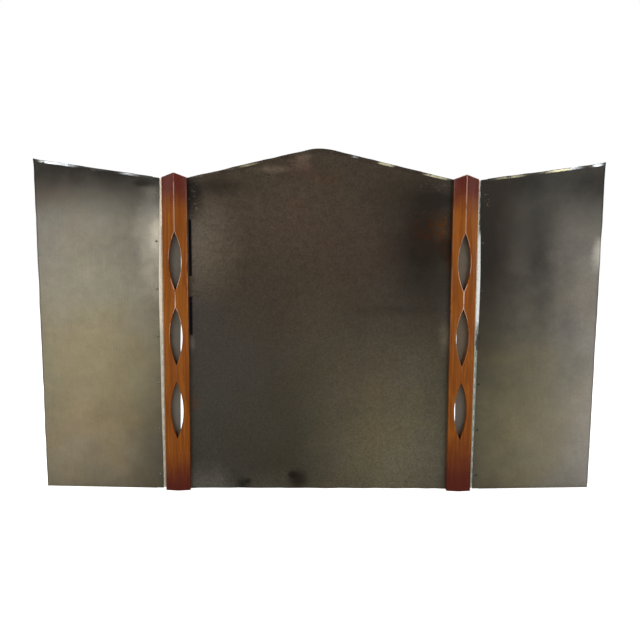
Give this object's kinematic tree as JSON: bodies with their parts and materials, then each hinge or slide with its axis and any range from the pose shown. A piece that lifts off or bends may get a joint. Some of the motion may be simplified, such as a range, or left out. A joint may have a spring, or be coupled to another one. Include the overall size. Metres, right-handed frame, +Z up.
{
  "type": "fireplace screen",
  "caption": "Three-fold fireplace screen of dark steel sheets with a gabled top, joined by wooden posts pierced with lens shapes and full-length hinges.",
  "frame": {"origin": "middle of the footprint at floor level, with the wings folded back three degrees", "axes": "+X to the right as seen from the front, +Y from front to back, +Z up; the posts' ridges face -Y"},
  "size_m": [1.2966, 0.0372, 0.7882],
  "materials": {
    "centre_steel": "dark mottled patina under clear lacquer",
    "wing_steel": "mottled olive-grey patina under clear lacquer",
    "strip_steel": "plain browned steel",
    "post_wood": "glossy orange-brown lacquer, darker red at the ends",
    "dowel_wood": "bare hardwood",
    "hinge_nickel": "worn nickel plate",
    "hinge_pin_steel": "drawn wire",
    "fastener_steel": "plated, lightly tarnished"
  },
  "bodies": {
    "stand": {"centre_sheet": "centre_steel", "left_outer_batten": "post_wood", "left_inner_batten": "post_wood", "right_outer_batten": "post_wood", "right_inner_batten": "post_wood", "left_post_dowels": "dowel_wood", "right_post_dowels": "dowel_wood", "left_backing_strip": "strip_steel", "right_backing_strip": "strip_steel", "left_hinge_post_leaf": "hinge_nickel", "left_hinge_pin": "hinge_pin_steel", "right_hinge_post_leaf": "hinge_nickel", "right_hinge_pin": "hinge_pin_steel", "left_leaf_screws": "fastener_steel", "right_leaf_screws": "fastener_steel", "left_sheet_screws": "fastener_steel", "right_sheet_screws": "fastener_steel"},
    "left_wing": {"left_wing_sheet": "wing_steel", "left_hinge_wing_leaf": "hinge_nickel", "left_wing_rivets": "fastener_steel"},
    "right_wing": {"right_wing_sheet": "wing_steel", "right_hinge_wing_leaf": "hinge_nickel", "right_wing_rivets": "fastener_steel"}
  },
  "joints": [
    {"name": "left_wing_fold", "type": "hinge", "parent": "stand", "child": "left_wing", "pos_m": [-0.3592, 0.00543, 0.361], "axis": [0, 0, -1], "range_deg": [-83, 175]},
    {"name": "right_wing_fold", "type": "hinge", "parent": "stand", "child": "right_wing", "pos_m": [0.3592, 0.00543, 0.361], "axis": [0, 0, 1], "range_deg": [-83, 175]}
  ]
}
